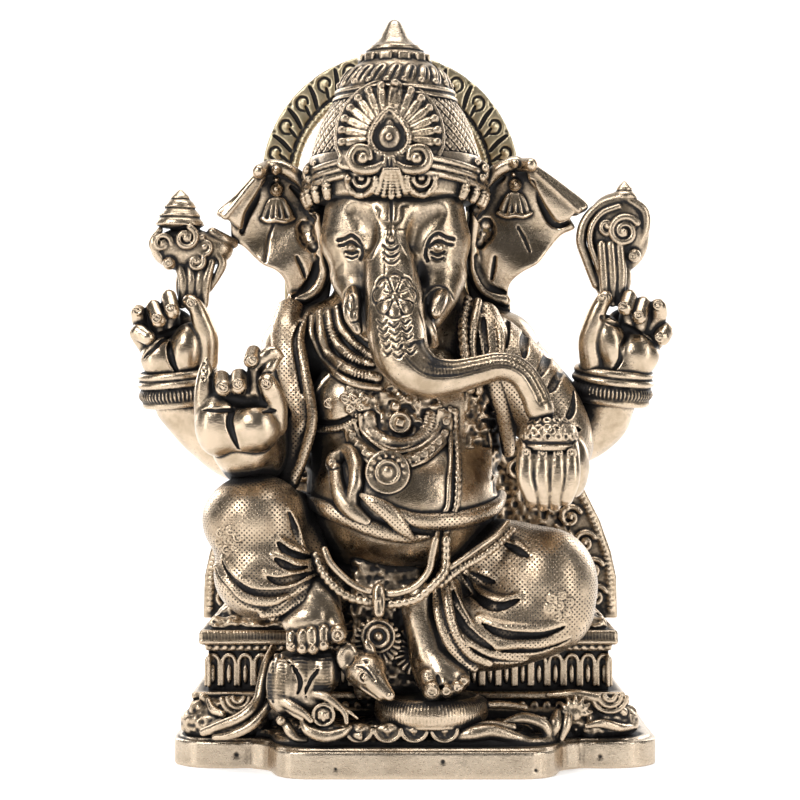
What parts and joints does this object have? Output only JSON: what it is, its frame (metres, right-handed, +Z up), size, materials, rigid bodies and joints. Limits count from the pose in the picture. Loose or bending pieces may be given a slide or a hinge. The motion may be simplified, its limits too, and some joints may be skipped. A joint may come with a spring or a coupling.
{
  "type": "ganesha idol",
  "caption": "Seated four-armed elephant-headed deity in cast brass with crown, halo arch and mouse on a stepped seat and lobed base, for a home shrine.",
  "frame": {"origin": "middle of the overall footprint, on the table the base stands on", "axes": "+Z up to the crown's tip, the figure faces -Y, so its own right hands are at -X"},
  "size_m": [0.1622, 0.0922, 0.222],
  "materials": {
    "polished_brass": "hand-polished high spots over dark recesses",
    "chased_brass": "chased and punched, dark patina between the marks",
    "base_brass": "filed and polished face with cast pits and patina",
    "halo_brass": "dull yellow brass with dark recesses"
  },
  "bodies": {
    "root": {"base_plate": "base_brass", "chest_medallion": "chased_brass", "crown_band": "chased_brass", "crown_cap": "chased_brass", "crown_dome": "chased_brass", "crown_finial": "polished_brass", "crown_plume": "chased_brass", "crown_ring": "chased_brass", "foot_cushion": "chased_brass", "front_sash": "chased_brass", "girdle_knot": "chased_brass", "goad": "chased_brass", "halo_arch": "halo_brass", "head": "polished_brass", "left_back_arm": "polished_brass", "left_back_bangle": "chased_brass", "left_back_hand": "polished_brass", "left_ear": "polished_brass", "left_ear_pendant": "chased_brass", "left_foot": "polished_brass", "left_front_arm": "chased_brass", "left_front_hand": "polished_brass", "left_leg": "chased_brass", "left_scroll": "chased_brass", "left_shawl": "chased_brass", "left_tusk": "polished_brass", "lotus_plate": "chased_brass", "mouse_body": "chased_brass", "mouse_head": "polished_brass", "neck_pendant": "chased_brass", "necklace": "chased_brass", "noose": "chased_brass", "right_back_arm": "polished_brass", "right_back_bangle": "chased_brass", "right_back_hand": "polished_brass", "right_ear": "polished_brass", "right_ear_pendant": "chased_brass", "right_foot": "polished_brass", "right_front_arm": "chased_brass", "right_front_hand": "polished_brass", "right_leg": "chased_brass", "right_scroll": "chased_brass", "right_shawl": "chased_brass", "right_tusk": "polished_brass", "seat_arcade": "chased_brass", "seat_back": "chased_brass", "seat_foot": "chased_brass", "seat_slab": "chased_brass", "serpent_belt": "chased_brass", "serpent_head": "chased_brass", "sweet_dish": "chased_brass", "torso": "polished_brass", "trunk": "polished_brass"}
  },
  "joints": []
}
